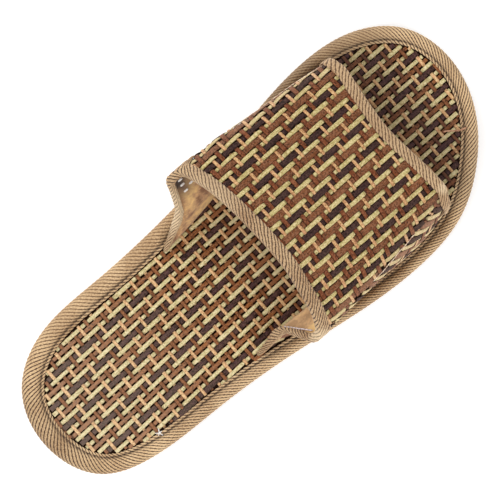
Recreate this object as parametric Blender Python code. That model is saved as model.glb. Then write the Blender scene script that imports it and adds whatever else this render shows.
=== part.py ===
"""Open-toe slipper for the right foot: a woven vamp, open at the toe, on a bound woven insole and a foam outsole.

Frame: +Y to the toe, +X to the outer side of the foot, +Z up, origin on the underside of the outsole at half
length. Sizes below are in millimetres, and every point is turned into metres where its mesh is made.
"""
import bpy
import bmesh
import math
import numpy as np
from mathutils import Vector

MM = 0.001

# ---- Driving dimensions, in millimetres -----------------------------------------------------------------
CLEARANCE = 0.3        # between pieces that meet
FOLD_CLEARANCE = 0.4   # inside the fold of a tape, where the wall that it holds is curved
OUTSOLE_THICKNESS = 5.0
OUTSOLE_INSET = 2.2    # the binding stands this far outside the outsole
OUTSOLE_ROUNDING = 1.2
TAPE_THICKNESS = 0.9
MAT_THICKNESS = 4.7    # woven top on foam, where nothing grips it
MAT_RIM_THICKNESS = 2.2
CHANNEL_REACH = 4.5    # from the outer edge to the bottom of the channel in the sole binding
RIM_REACH = 5.0        # from the outer edge to the edge of the mat's rim
MAT_INSET = 0.5        # between the binding's inner edge and the thick middle of the mat
ROLL_HEIGHT = 6.2      # of the sole binding
WALL = 2.0             # of the vamp: weave, interlining and lining together
SEAM_INSET = 1.7       # from the sole binding's inner edge to the middle of the vamp's wall
TOE_SPRING = 4.0
BALL_LINE = 72.0       # forward of this y the sole starts to rise
TOE_Y = 137.5
COLLAR_TAPE_WIDTH = 5.4
FRONT_TAPE_WIDTH = 4.6
INNER_KNEE_AT = 0.35   # of the way up the inner wall, where it bends inwards
KNEE_ROUNDING = 4.0
FOLD_ROUNDING = 4.5    # of the soft crease between wall and top
TOP_FULLNESS = 0.28    # of the width, how far in from each crease the top is still as steep as at the crease

MAT_TOP = OUTSOLE_THICKNESS + CLEARANCE + MAT_THICKNESS
SEAM_HEIGHT = MAT_TOP + CLEARANCE

EDGE_STEPS = 80        # points round the sole
RISE_STEPS = 9         # rows of the sole from the ball to the toe
ROW_STEPS = 14         # rows of the vamp from toe opening to collar
SIDE_STEPS = (3, 3, 3, 9)   # columns up one wall: low wall, knee, high wall, fold
TOP_STEPS = 20         # columns over the top
SIDE_SHARE = 0.23      # of the way across that each side takes, up to the end of its fold

# The sole's outer edge, round the binding, and the width of the binding seen from above.
#  place                x       y     binding width
SOLE_EDGE = (
    ("heel",            3.2, -137.5, 11.2),
    ("heel, outer",    30.3, -126.4, 10.0),
    ("back quarter",   40.9, -102.0, 8.6),
    ("waist, outer",   44.4,  -62.0, 8.1),
    ("collar, outer",  49.2,  -17.0, 7.6),
    ("joint, outer",   56.6,   29.0, 7.5),
    ("ball, outer",    58.5,   62.0, 7.4),
    ("small toes",     53.8,   90.0, 7.9),
    ("toe corner",     39.6,  113.0, 8.6),
    ("fourth toe",     19.5,  129.8, 8.2),
    ("toe",            -9.0,  137.5, 7.7),
    ("big toe",       -34.0,  130.3, 8.3),
    ("big toe, side", -49.3,  110.0, 8.6),
    ("big toe joint", -54.2,   82.0, 8.1),
    ("ball, inner",   -51.2,   47.0, 8.1),
    ("arch, front",   -45.6,   10.0, 8.8),
    ("arch",          -42.4,  -30.0, 10.2),
    ("waist, inner",  -42.3,  -66.0, 10.3),
    ("inner quarter", -40.1, -106.0, 10.6),
    ("heel, inner",   -27.4, -127.4, 11.0),
)

# The last that shapes the vamp: where its two creases and its crown lie, heights above the insole. Its outer
# wall is drawn in near the collar and swells out over the small toes.
#    y   inner x  inner z  outer x  outer z  crown z  inner knee in  outer knee in  outer knee's share of height
LAST = (
    (-32, -56.2,   31.0,    51.2,    31.0,   56.0,     1.0,           7.5,           0.35),
    (-6,  -56.0,   32.0,    51.6,    32.0,   56.0,     2.5,           9.2,           0.35),
    (6,   -55.9,   32.0,    51.8,    32.0,   55.5,     3.0,          10.0,           0.35),
    (23,  -55.2,   30.5,    51.1,    30.5,   51.5,     2.0,           6.0,           0.38),
    (48,  -51.5,   27.0,    48.8,    27.0,   44.0,     0.5,          -0.6,           0.52),
    (70,  -49.0,   23.5,    45.9,    23.5,   36.5,    -0.6,          -2.0,           0.58),
    (96,  -44.6,   19.5,    42.1,    19.5,   28.5,    -0.6,          -0.6,           0.50),
)

# How far forward the vamp's toe opening lies, from the inner seam (share 0) to the outer seam (share 1).
#   share    y
TOE_OPENING = (
    (0.00, 88.0), (0.10, 91.0), (0.20, 93.3), (0.25, 94.7), (0.36, 92.5), (0.50, 90.3),
    (0.65, 92.1), (0.75, 92.7), (0.80, 89.9), (0.90, 87.3), (1.00, 85.5),
)

# How far back the collar lies, down to the end of each tail.
#   share    y
COLLAR = (
    (0.00, -29.8), (0.05, -20.5), (0.10, -13.5), (0.16, -7.6), (0.20, -4.6), (0.225, 1.4), (0.28, 5.0),
    (0.34, 7.4), (0.42, 8.9), (0.50, 9.5), (0.57, 9.1), (0.65, 6.6), (0.72, 3.8), (0.77, 0.0),
    (0.80, -3.4), (0.86, -9.1), (0.91, -14.9), (0.95, -21.0), (1.00, -29.8),
)


# ---- Curves ---------------------------------------------------------------------------------------------
def along(table, column, at):
    """Value of one column of a table at a place between its rows: a cubic with no overshoot."""
    x = np.array([row[0] for row in table], float)
    y = np.array([row[column] for row in table], float)
    slope = np.diff(y) / np.diff(x)
    tangent = np.zeros(len(x))
    for i in range(1, len(x) - 1):
        if slope[i - 1] * slope[i] > 0:
            tangent[i] = 2 * slope[i - 1] * slope[i] / (slope[i - 1] + slope[i])
    tangent[0] = slope[0]
    tangent[-1] = slope[-1]
    at = min(max(at, x[0]), x[-1])
    i = min(int(np.searchsorted(x, at, side="right")) - 1, len(x) - 2)
    h = x[i + 1] - x[i]
    s = (at - x[i]) / h
    return float(
        y[i] * (1 + 2 * s) * (1 - s) ** 2
        + tangent[i] * h * s * (1 - s) ** 2
        + y[i + 1] * s * s * (3 - 2 * s)
        + tangent[i + 1] * h * s * s * (s - 1)
    )


def closed_spline(rows, count):
    """Smooth closed curve through the rows, as count points at even steps. All columns are followed together."""
    points = np.array(rows, float)
    n = len(points)
    chord = np.linalg.norm(np.roll(points, -1, axis=0)[:, :2] - points[:, :2], axis=1)
    slope = (np.roll(points, -1, axis=0) - points) / chord[:, None]
    system = np.zeros((n, n))
    for i in range(n):
        system[i, i - 1] += chord[i - 1]
        system[i, i] += 2 * (chord[i - 1] + chord[i])
        system[i, (i + 1) % n] += chord[i]
    bend = np.linalg.solve(system, 6 * (slope - np.roll(slope, 1, axis=0)))
    starts = np.concatenate([[0], np.cumsum(chord)])
    curve = []
    for distance in np.linspace(0, starts[-1], count, endpoint=False):
        i = int(np.searchsorted(starts, distance, side="right")) - 1
        j = (i + 1) % n
        h = chord[i]
        a = (starts[i + 1] - distance) / h
        b = 1 - a
        curve.append(a * points[i] + b * points[j] + ((a**3 - a) * bend[i] + (b**3 - b) * bend[j]) * h * h / 6)
    return np.array(curve)


def toward(start, end, distance):
    return start + (end - start).normalized() * distance


def quadratic(a, b, c, s):
    return a * (1 - s) ** 2 + b * 2 * s * (1 - s) + c * s * s


def cubic(a, b, c, d, s):
    return a * (1 - s) ** 3 + b * 3 * s * (1 - s) ** 2 + c * 3 * s * s * (1 - s) + d * s**3


# ---- The sole's edge and its rise to the toe ------------------------------------------------------------
EDGE = closed_spline([row[1:] for row in SOLE_EDGE], EDGE_STEPS)


def lift(y):
    """Toe spring: how far the sole has risen at y."""
    return TOE_SPRING * max(0.0, (y - BALL_LINE) / (TOE_Y - BALL_LINE)) ** 2


def edge_loop(inset, share_of_binding=0.0):
    """The sole's edge moved inwards by a distance and by a share of the binding's width."""
    ahead = np.roll(EDGE, -1, axis=0)[:, :2] - np.roll(EDGE, 1, axis=0)[:, :2]
    ahead /= np.linalg.norm(ahead, axis=1)[:, None]
    inward = np.stack([-ahead[:, 1], ahead[:, 0]], axis=1)
    return EDGE[:, :2] + inward * (inset + share_of_binding * EDGE[:, 2])[:, None]


def edge_x(loop, y, side):
    """Where a loop crosses y on the inner (side -1) or the outer (side +1) side of the foot."""
    crossings = []
    for a, b in zip(loop, np.roll(loop, -1, axis=0)):
        if (a[1] - y) * (b[1] - y) <= 0 and a[1] != b[1]:
            crossings.append(a[0] + (b[0] - a[0]) * (y - a[1]) / (b[1] - a[1]))
    return side * max(side * x for x in crossings)


SEAM_LOOP = edge_loop(SEAM_INSET, 1.0)


# ---- The last -------------------------------------------------------------------------------------------
def side_curve(share, seam, knee, fold, over):
    """One side of a section, from its seam (share 0), round the knee, to the end of its fold (share 1)."""
    stops = (
        seam,
        toward(knee, seam, KNEE_ROUNDING),
        toward(knee, fold, KNEE_ROUNDING),
        toward(fold, knee, FOLD_ROUNDING),
        toward(fold, over, FOLD_ROUNDING),
    )
    part = min(int(share * 4), 3)
    s = share * 4 - part
    if part == 0:
        return stops[0].lerp(stops[1], s)
    if part == 1:
        return quadratic(stops[1], knee, stops[2], s)
    if part == 2:
        return stops[2].lerp(stops[3], s)
    return quadratic(stops[3], fold, stops[4], s)


def last_point(share, y):
    """The middle of the vamp's wall at a share of the way across, inner seam 0 to outer seam 1, at y."""
    seams = []
    knees = []
    folds = []
    for side, fold_column, knee_column, knee_at in ((-1, 1, 6, INNER_KNEE_AT), (1, 3, 7, along(LAST, 8, y))):
        seam = Vector((edge_x(SEAM_LOOP, y, side), 0.0))
        fold = Vector((along(LAST, fold_column, y), along(LAST, fold_column + 1, y)))
        knee = seam.lerp(fold, knee_at) - Vector((side * along(LAST, knee_column, y), 0.0))
        seams.append(seam)
        knees.append(knee)
        folds.append(fold)
    crown = along(LAST, 5, y)
    width = folds[1].x - folds[0].x
    overs = []
    for side, fold in ((1, folds[0]), (-1, folds[1])):
        overs.append(Vector((fold.x + side * TOP_FULLNESS * width, fold.y + (crown - fold.y) * 4 / 3)))
    if share < SIDE_SHARE:
        flat = side_curve(share / SIDE_SHARE, seams[0], knees[0], folds[0], overs[0])
    elif share > 1 - SIDE_SHARE:
        flat = side_curve((1 - share) / SIDE_SHARE, seams[1], knees[1], folds[1], overs[1])
    else:
        ends = [toward(fold, over, FOLD_ROUNDING) for fold, over in zip(folds, overs)]
        s = (share - SIDE_SHARE) / (1 - 2 * SIDE_SHARE)
        flat = cubic(ends[0], overs[0], overs[1], ends[1], s)
    return Vector((flat.x, y, SEAM_HEIGHT + lift(y) + flat.y))


def last_normal(share, y):
    """Outward normal of the last."""
    a = max(share - 0.002, 0.0)
    b = min(share + 0.002, 1.0)
    across = last_point(b, y) - last_point(a, y)
    forward = last_point(share, y + 0.5) - last_point(share, y - 0.5)
    return across.cross(forward).normalized()


def row_y(share, back):
    """How far forward the vamp lies, from its toe opening (back 0) to its collar (back 1)."""
    return along(TOE_OPENING, 1, share) * (1 - back) + along(COLLAR, 1, share) * back


def columns():
    """Shares across the vamp at which the wall is modelled, close together at the knees and folds."""
    side = [0.0]
    for part, steps in enumerate(SIDE_STEPS):
        side += [(part + (k + 1) / steps) / 4 * SIDE_SHARE for k in range(steps)]
    top = [SIDE_SHARE + (1 - 2 * SIDE_SHARE) * k / TOP_STEPS for k in range(1, TOP_STEPS)]
    return side + top + [1 - share for share in reversed(side)]


def on_line(share, line):
    """Place, outward normal and direction of a line drawn over the last, whose y is line(share)."""
    a = max(share - 0.004, 0.0)
    b = min(share + 0.004, 1.0)
    direction = (last_point(b, line(b)) - last_point(a, line(a))).normalized()
    return last_point(share, line(share)), last_normal(share, line(share)), direction


def settle(point, share, direction):
    """At a seam, slides a point along its line until it lies level with the bottom of the seam."""
    if 0.0 < share < 1.0:
        return point
    return point + direction * ((SEAM_HEIGHT + lift(point.y) - point.z) / direction.z)


# ---- Meshes ---------------------------------------------------------------------------------------------
def fresh_collection(name):
    for obj in list(bpy.data.objects):
        bpy.data.objects.remove(obj, do_unlink=True)
    collection = bpy.data.collections.new(name)
    bpy.context.scene.collection.children.link(collection)
    return collection


def material(name, colour, roughness):
    made = bpy.data.materials.new(name)
    made.use_nodes = True
    shader = made.node_tree.nodes["Principled BSDF"]
    shader.inputs["Base Color"].default_value = (*colour, 1.0)
    shader.inputs["Roughness"].default_value = roughness
    shader.inputs["Metallic"].default_value = 0.0
    made.diffuse_color = (*colour, 1.0)
    return made


def finish(name, bm, collection, surface):
    """Closes a piece: faces turned outwards, metres, its own object and material."""
    bmesh.ops.recalc_face_normals(bm, faces=bm.faces)
    bmesh.ops.scale(bm, vec=(MM, MM, MM), verts=bm.verts)
    mesh = bpy.data.meshes.new(name)
    bm.to_mesh(mesh)
    bm.free()
    mesh.shade_smooth()
    mesh.set_sharp_from_angle(angle=math.radians(35))
    mesh.materials.append(surface)
    obj = bpy.data.objects.new(name, mesh)
    collection.objects.link(obj)
    return obj


def tube_of_rings(bm, rings, closed):
    """Faces between rings of points. A closed tube joins its last ring to its first, an open one is capped."""
    made = [[bm.verts.new(point) for point in ring] for ring in rings]
    pairs = list(zip(made, made[1:]))
    if closed:
        pairs.append((made[-1], made[0]))
    for near, far in pairs:
        for k in range(len(near)):
            j = (k + 1) % len(near)
            bm.faces.new((near[k], near[j], far[j], far[k]))
    if not closed:
        bm.faces.new(made[0])
        bm.faces.new(list(reversed(made[-1])))


def sole_plate(name, layers, collection, surface):
    """A plate built of edge loops from bottom to top, then bent up to the toe row by row."""
    bm = bmesh.new()
    tube_of_rings(bm, [[(x, y, z) for x, y in loop] for loop, z in layers], closed=False)
    row = BALL_LINE
    while row < TOE_Y:
        geometry = bm.verts[:] + bm.edges[:] + bm.faces[:]
        bmesh.ops.bisect_plane(bm, geom=geometry, dist=1e-5, plane_co=(0, row, 0), plane_no=(0, 1, 0))
        row += (TOE_Y - BALL_LINE) / RISE_STEPS
    for vertex in bm.verts:
        vertex.co.z += lift(vertex.co.y)
    return finish(name, bm, collection, surface)


# ---- Pieces ---------------------------------------------------------------------------------------------
def make_outsole(collection, surface):
    full = edge_loop(OUTSOLE_INSET)
    rounded = edge_loop(OUTSOLE_INSET + OUTSOLE_ROUNDING)
    layers = ((rounded, 0.0), (full, OUTSOLE_ROUNDING), (full, OUTSOLE_THICKNESS))
    return sole_plate("outsole", layers, collection, surface)


def make_insole(collection, surface):
    body = edge_loop(MAT_INSET, 1.0)
    rim = edge_loop(RIM_REACH)
    bottom = OUTSOLE_THICKNESS + CLEARANCE
    rim_bottom = bottom + TAPE_THICKNESS + CLEARANCE
    rim_top = rim_bottom + MAT_RIM_THICKNESS
    layers = (
        (body, bottom), (body, rim_bottom), (rim, rim_bottom),
        (rim, rim_top), (body, rim_top), (body, MAT_TOP),
    )
    return sole_plate("insole", layers, collection, surface)


def make_sole_binding(collection, surface):
    """A channel of tape round the insole's rim: flat inner leaves, a plump roll outside."""
    bottom = OUTSOLE_THICKNESS + CLEARANCE
    slot_low = bottom + TAPE_THICKNESS
    slot_high = slot_low + MAT_RIM_THICKNESS + 2 * CLEARANCE
    leaf_top = slot_high + TAPE_THICKNESS
    roll_top = bottom + ROLL_HEIGHT
    middle = (bottom + roll_top) / 2
    # distance in, share of the width, height
    profile = (
        (0.0, 1.00, slot_high), (0.0, 1.00, leaf_top), (-2.4, 1.00, leaf_top),
        (-3.5, 1.00, roll_top - 0.7), (0.0, 0.42, roll_top), (0.0, 0.20, roll_top - 0.5),
        (0.0, 0.05, middle + 1.5), (0.0, 0.00, middle), (0.0, 0.05, middle - 1.7),
        (0.0, 0.16, bottom + 0.2), (0.0, 0.30, bottom), (0.0, 1.00, bottom),
        (0.0, 1.00, slot_low), (CHANNEL_REACH, 0.00, slot_low), (CHANNEL_REACH, 0.00, slot_high),
    )
    loops = [(edge_loop(inset, share), height) for inset, share, height in profile]
    rings = []
    for k in range(EDGE_STEPS):
        ring = []
        for loop, height in loops:
            x, y = loop[k]
            ring.append((x, y, height + lift(y)))
        rings.append(ring)
    bm = bmesh.new()
    tube_of_rings(bm, rings, closed=True)
    return finish("sole_binding", bm, collection, surface)


def make_upper(collection, surface):
    """The vamp: a wall of even thickness about the last, open at the toe, the collar and underneath."""
    bm = bmesh.new()
    rings = []
    for share in columns():
        outer = []
        inner = []
        for k in range(ROW_STEPS + 1):
            place, normal, direction = on_line(share, lambda at: row_y(at, k / ROW_STEPS))
            outer.append(settle(place + normal * (WALL / 2), share, direction))
            inner.append(settle(place - normal * (WALL / 2), share, direction))
        rings.append(outer + inner[::-1])
    tube_of_rings(bm, rings, closed=False)
    return finish("upper", bm, collection, surface)


def make_tape(name, table, inward, width, collection, surface):
    """Tape folded over one open edge of the vamp, as a channel. inward is +1 where the vamp lies at larger y."""
    near = WALL / 2 + FOLD_CLEARANCE
    far = near + TAPE_THICKNESS
    beyond = CLEARANCE + TAPE_THICKNESS
    # distance into the vamp from its edge (below 0 past the edge), height off the middle of the wall
    profile = (
        (width, near), (width, far - 0.25), (width * 0.55, far), (0.0, far), (-beyond * 0.7, far * 0.62),
        (-beyond, 0.0), (-beyond * 0.7, -far * 0.62), (0.0, -far), (width * 0.55, -far),
        (width, -far + 0.25), (width, -near), (width * 0.5, -near), (-CLEARANCE, -near),
        (-CLEARANCE, near), (width * 0.5, near),
    )
    bm = bmesh.new()
    rings = []
    for share in columns():
        edge, normal, direction = on_line(share, lambda at: along(table, 1, at))
        into = normal.cross(direction) * inward
        ring = []
        for distance, height in profile:
            if distance > 0:
                y = edge.y + distance / into.y
                point = last_point(share, y) + last_normal(share, y) * height
            else:
                point = edge + into * distance + normal * height
            ring.append(settle(point, share, direction))
        rings.append(ring)
    tube_of_rings(bm, rings, closed=False)
    return finish(name, bm, collection, surface)


def main():
    slipper = fresh_collection("open_toe_slipper")
    foam = material("outsole_foam", (0.10, 0.075, 0.06), 0.85)
    mat = material("woven_mat", (0.33, 0.22, 0.13), 0.7)
    weave = material("woven_vamp", (0.40, 0.27, 0.16), 0.65)
    twill = material("striped_twill", (0.50, 0.35, 0.20), 0.8)
    make_outsole(slipper, foam)
    make_insole(slipper, mat)
    make_sole_binding(slipper, twill)
    make_upper(slipper, weave)
    make_tape("front_binding", TOE_OPENING, -1, FRONT_TAPE_WIDTH, slipper, twill)
    make_tape("collar_binding", COLLAR, 1, COLLAR_TAPE_WIDTH, slipper, twill)


main()
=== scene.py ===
"""Open-toe slipper for the right foot: woven strips on a foam sole, its edges bound in striped twill tape.

+Y is the toe, +X the outer side of the foot, +Z up. Sizes are in millimetres and become metres in each mesh.
"""
import math

import bpy
import numpy as np
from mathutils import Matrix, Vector


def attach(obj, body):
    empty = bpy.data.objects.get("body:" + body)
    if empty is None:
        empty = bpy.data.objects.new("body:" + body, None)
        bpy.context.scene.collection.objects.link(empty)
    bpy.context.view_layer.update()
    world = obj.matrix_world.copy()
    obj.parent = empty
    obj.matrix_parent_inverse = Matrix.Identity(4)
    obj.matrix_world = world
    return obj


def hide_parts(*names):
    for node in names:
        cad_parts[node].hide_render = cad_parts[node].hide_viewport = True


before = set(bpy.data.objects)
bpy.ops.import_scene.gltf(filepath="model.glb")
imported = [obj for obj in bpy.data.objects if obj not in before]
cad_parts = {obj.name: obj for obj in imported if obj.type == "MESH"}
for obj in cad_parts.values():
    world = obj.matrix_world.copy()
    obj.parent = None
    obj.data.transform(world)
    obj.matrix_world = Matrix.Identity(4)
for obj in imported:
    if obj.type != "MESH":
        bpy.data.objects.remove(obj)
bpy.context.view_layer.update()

# ---- Outsole --------------------------------------------------------------------------------------------
# A 5 mm plate of closed-cell foam, die-cut to the sole's outline and glued under the bound insole.
# Its lower edge is rounded, its underside has a fine diamond tread, and it springs up a little at the toe.
MM = 0.001
OUTSOLE_THICKNESS = 5.0
OUTSOLE_INSET = 2.2
BALL_LINE = 72.0
TOE_Y = 137.5
TOE_SPRING = 4.0
TREAD_PITCH = 5.2
TREAD_DEPTH = 0.7
TREAD_SLANT = 0.6
STUD_SHARE = 0.72
GROOVE_SLOPE = 0.2
#  in from the plate's edge, height
OUTSOLE_EDGE = ((1.4, 0.0), (0.7, 0.15), (0.25, 0.5), (0.0, 1.1), (0.0, 2.8), (0.1, 4.4), (0.4, 5.0))
OUTSOLE_POINTS_ROUND = 640
OUTSOLE_RINGS = 58
#  y, x of the midline that a plate's rings shrink to
SPINE = ((-95.0, 1.5), (-30.0, 1.5), (40.0, 2.5), (90.0, 0.0))
SPINE_SHARE = 0.97
RING_SHARE = 0.999

# The sole's outer edge, round the binding, and the width of the binding seen from above.
#  place                x       y     binding width
SOLE_EDGE = (
    ("heel",            3.2, -137.5, 11.2),
    ("heel, outer",    30.3, -126.4, 10.0),
    ("back quarter",   40.9, -102.0, 8.6),
    ("waist, outer",   44.4,  -62.0, 8.1),
    ("collar, outer",  49.2,  -17.0, 7.6),
    ("joint, outer",   56.6,   29.0, 7.5),
    ("ball, outer",    58.5,   62.0, 7.4),
    ("small toes",     53.8,   90.0, 7.9),
    ("toe corner",     39.6,  113.0, 8.6),
    ("fourth toe",     19.5,  129.8, 8.2),
    ("toe",            -9.0,  137.5, 7.7),
    ("big toe",       -34.0,  130.3, 8.3),
    ("big toe, side", -49.3,  110.0, 8.6),
    ("big toe joint", -54.2,   82.0, 8.1),
    ("ball, inner",   -51.2,   47.0, 8.1),
    ("arch, front",   -45.6,   10.0, 8.8),
    ("arch",          -42.4,  -30.0, 10.2),
    ("waist, inner",  -42.3,  -66.0, 10.3),
    ("inner quarter", -40.1, -106.0, 10.6),
    ("heel, inner",   -27.4, -127.4, 11.0),
)


class Wire:
    """An output in a material's tree. Sums and products of wires and numbers add their Math nodes."""

    def __init__(self, finish, socket):
        self.finish = finish
        self.socket = socket

    def math(self, operation, first, second=0.0):
        return self.finish.node("ShaderNodeMath", {"operation": operation}, {0: first, 1: second})

    def __add__(self, other):
        return self.math("ADD", self, other)

    def __sub__(self, other):
        return self.math("SUBTRACT", self, other)

    def __rsub__(self, other):
        return self.math("SUBTRACT", other, self)

    def __mul__(self, other):
        return self.math("MULTIPLY", self, other)

    __radd__ = __add__
    __rmul__ = __mul__


class Finish:
    """A material under way: node() adds any node, and the other calls are the ones used often."""

    def __init__(self, name, roughness, **fixed):
        self.material = bpy.data.materials.new(name)
        self.material.use_nodes = True
        self.tree = self.material.node_tree
        self.shader = self.tree.nodes["Principled BSDF"]
        self.plug(self.shader.inputs["Roughness"], roughness)
        for socket, value in fixed.items():
            self.plug(self.shader.inputs[socket.replace("_", " ")], value)

    def plug(self, socket, value):
        if isinstance(value, Wire):
            self.tree.links.new(value.socket, socket)
        else:
            socket.default_value = value

    def node(self, kind, settings, sockets, out=0):
        node = self.tree.nodes.new(kind)
        for key, value in settings.items():
            if key == "stops":
                while len(node.color_ramp.elements) < len(value):
                    node.color_ramp.elements.new(0.5)
                for element, (place, colour) in zip(node.color_ramp.elements, value):
                    element.position = place
                    element.color = colour
            else:
                setattr(node, key, value)
        for key, value in sockets.items():
            self.plug(node.inputs[key], value)
        return Wire(self, node.outputs[out])

    def place(self):
        return self.node("ShaderNodeTexCoord", {}, {}, "Object")

    def attribute(self, name, out="Fac"):
        return self.node("ShaderNodeAttribute", {"attribute_name": name}, {}, out)

    def axis(self, vector, number):
        """One of a vector's three numbers."""
        return self.node("ShaderNodeSeparateXYZ", {}, {0: vector}, number)

    def stretch(self, vector, factors):
        return self.node("ShaderNodeVectorMath", {"operation": "MULTIPLY"}, {0: vector, 1: factors})

    def noise(self, vector, scale, detail=2.0):
        return self.node("ShaderNodeTexNoise", {}, {"Vector": vector, "Scale": scale, "Detail": detail})

    def steps(self, value, low, high):
        """0 below low, 1 above high, smooth in between."""
        settings = {"interpolation_type": "SMOOTHSTEP"}
        return self.node("ShaderNodeMapRange", settings, {0: value, 1: low, 2: high})

    def hump(self, value, begins, full, from_there, ends):
        """0, rising to 1, and falling to 0 again."""
        return self.steps(value, begins, full) * (1 - self.steps(value, from_there, ends))

    def near(self, spot, full, ends):
        """1 close to a spot, falling to 0 at a distance from it, in metres."""
        distance = self.node("ShaderNodeVectorMath", {"operation": "DISTANCE"}, {0: self.place(), 1: spot}, 1)
        return 1 - self.steps(distance, full, ends)

    def ramp(self, value, stops):
        return self.node("ShaderNodeValToRGB", {"stops": stops}, {"Fac": value})

    def mix(self, share, first, second):
        return self.node("ShaderNodeMix", {"data_type": "RGBA"}, {0: share, 6: first, 7: second}, 2)

    def colour(self, value):
        self.plug(self.shader.inputs["Base Color"], value)

    def bump(self, height, distance, strength=1.0):
        sockets = {"Height": height, "Distance": distance, "Strength": strength}
        self.plug(self.shader.inputs["Normal"], self.node("ShaderNodeBump", {}, sockets))


def dye(red, green, blue):
    """A colour given as it looks, from 0 to 255, as the light that it sends back."""
    shares = [value / 255 for value in (red, green, blue)]
    return (*[s / 12.92 if s <= 0.04045 else ((s + 0.055) / 1.055) ** 2.4 for s in shares], 1.0)


def make_piece(name, points, faces, finish, marks=None):
    """A smooth mesh piece that rides on the shoe. marks are values or vectors that its material reads."""
    mesh = bpy.data.meshes.new(name)
    mesh.vertices.add(len(points))
    mesh.vertices.foreach_set("co", (np.asarray(points) * MM).astype(np.float32).ravel())
    mesh.loops.add(faces.size)
    mesh.loops.foreach_set("vertex_index", faces.astype(np.int32).ravel())
    mesh.polygons.add(len(faces))
    mesh.polygons.foreach_set("loop_start", np.arange(0, faces.size, faces.shape[1], dtype=np.int32))
    mesh.update(calc_edges=True)
    mesh.validate()
    for key, values in (marks or {}).items():
        kind, field = ("FLOAT", "value") if np.ndim(values) == 1 else ("FLOAT_VECTOR", "vector")
        layer = mesh.attributes.new(key, kind, "POINT")
        layer.data.foreach_set(field, np.asarray(values, np.float32).ravel())
    mesh.shade_smooth()
    mesh.materials.append(finish.material)
    piece = bpy.data.objects.new(name, mesh)
    bpy.context.scene.collection.objects.link(piece)
    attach(piece, "root")
    return piece


def grid_faces(rows, columns, closed_rows=False, closed_columns=False):
    """Quads between neighbours in a grid of points, numbered row by row."""
    i = np.arange(rows if closed_rows else rows - 1)[:, None]
    j = np.arange(columns if closed_columns else columns - 1)[None, :]
    k = (i + 1) % rows
    m = (j + 1) % columns
    corners = [i * columns + j, i * columns + m, k * columns + m, k * columns + j]
    return np.stack(np.broadcast_arrays(*corners), axis=-1).reshape(-1, 4)


def unit(vectors):
    return vectors / np.maximum(np.linalg.norm(vectors, axis=-1, keepdims=True), 1e-9)


def reach_along(points):
    """How far each point of a path lies along it."""
    return np.concatenate([[0], np.cumsum(np.linalg.norm(np.diff(points, axis=0), axis=1))])


def closed_spline(rows, count):
    """Smooth closed curve through the rows, as count points at even steps. Further columns follow along."""
    points = np.array(rows, float)
    n = len(points)
    chord = np.linalg.norm(np.roll(points, -1, axis=0)[:, :2] - points[:, :2], axis=1)
    slope = (np.roll(points, -1, axis=0) - points) / chord[:, None]
    system = np.zeros((n, n))
    for i in range(n):
        system[i, i - 1] += chord[i - 1]
        system[i, i] += 2 * (chord[i - 1] + chord[i])
        system[i, (i + 1) % n] += chord[i]
    bend = np.linalg.solve(system, 6 * (slope - np.roll(slope, 1, axis=0)))
    starts = np.concatenate([[0], np.cumsum(chord)])
    distance = np.linspace(0, starts[-1], count, endpoint=False)
    i = np.searchsorted(starts, distance, side="right") - 1
    j = (i + 1) % n
    h = chord[i][:, None]
    a = (starts[i + 1] - distance)[:, None] / h
    b = 1 - a
    return a * points[i] + b * points[j] + ((a**3 - a) * bend[i] + (b**3 - b) * bend[j]) * h * h / 6


def lift(y):
    """Toe spring: how far the sole has risen at y."""
    return TOE_SPRING * np.maximum(0.0, (y - BALL_LINE) / (TOE_Y - BALL_LINE)) ** 2


def edge_and_inward(count):
    """The sole's edge, as rows of x, y and width of binding, and the way inwards at each."""
    edge = closed_spline([row[1:] for row in SOLE_EDGE], count)
    ahead = unit(np.roll(edge, -1, axis=0)[:, :2] - np.roll(edge, 1, axis=0)[:, :2])
    return edge, np.stack([-ahead[:, 1], ahead[:, 0]], axis=1)


def sole_loop(count, inset, share_of_binding=0.0):
    """The sole's edge moved inwards by a distance and by a share of the binding's width."""
    edge, inward = edge_and_inward(count)
    return edge[:, :2] + inward * (inset + share_of_binding * edge[:, 2])[:, None]


def ring_inside(loop, share, height_at):
    """A loop shrunk to a share of its distance from the midline, at its face's height there."""
    y = np.clip(loop[:, 1], SPINE[0][0], SPINE[-1][0]) * SPINE_SHARE
    spine = np.stack([np.interp(y, *zip(*SPINE)), y], axis=1)
    flat = spine + (loop - spine) * share
    return np.column_stack([flat, height_at(flat)])


def bridge(first, count):
    """Quads, facing up, that close the narrow slit inside a ring of points, the first of which is given."""
    j = np.arange(count // 2 - 1)
    return first + np.stack([j, j + 1, count - 2 - j, count - 1 - j], axis=1)


def closed_rings(rings):
    """Points and faces of a closed form, from rings of points whose first and last are narrow slits."""
    count = rings.shape[1]
    sides = grid_faces(len(rings), count, closed_columns=True)
    last = (len(rings) - 1) * count
    return rings.reshape(-1, 3), np.concatenate([sides, bridge(0, count)[:, ::-1], bridge(last, count)])


def ringed_plate(profile, inner_rings, bottom, top):
    """A closed plate. profile is (loop, height) from bottom to top at its edge; rings fill both its faces."""
    shares = np.linspace(1, 0, inner_rings + 1)[-2:0:-1] * RING_SHARE
    rings = [ring_inside(profile[0][0], share, bottom) for share in shares]
    rings += [np.column_stack([loop, np.full(len(loop), height)]) for loop, height in profile]
    rings += [ring_inside(profile[-1][0], share, top) for share in shares[::-1]]
    rings = np.array(rings)
    rings[..., 2] += lift(rings[..., 1])
    return closed_rings(rings)


def level(height):
    return lambda flat: np.full(len(flat), height)


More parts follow.
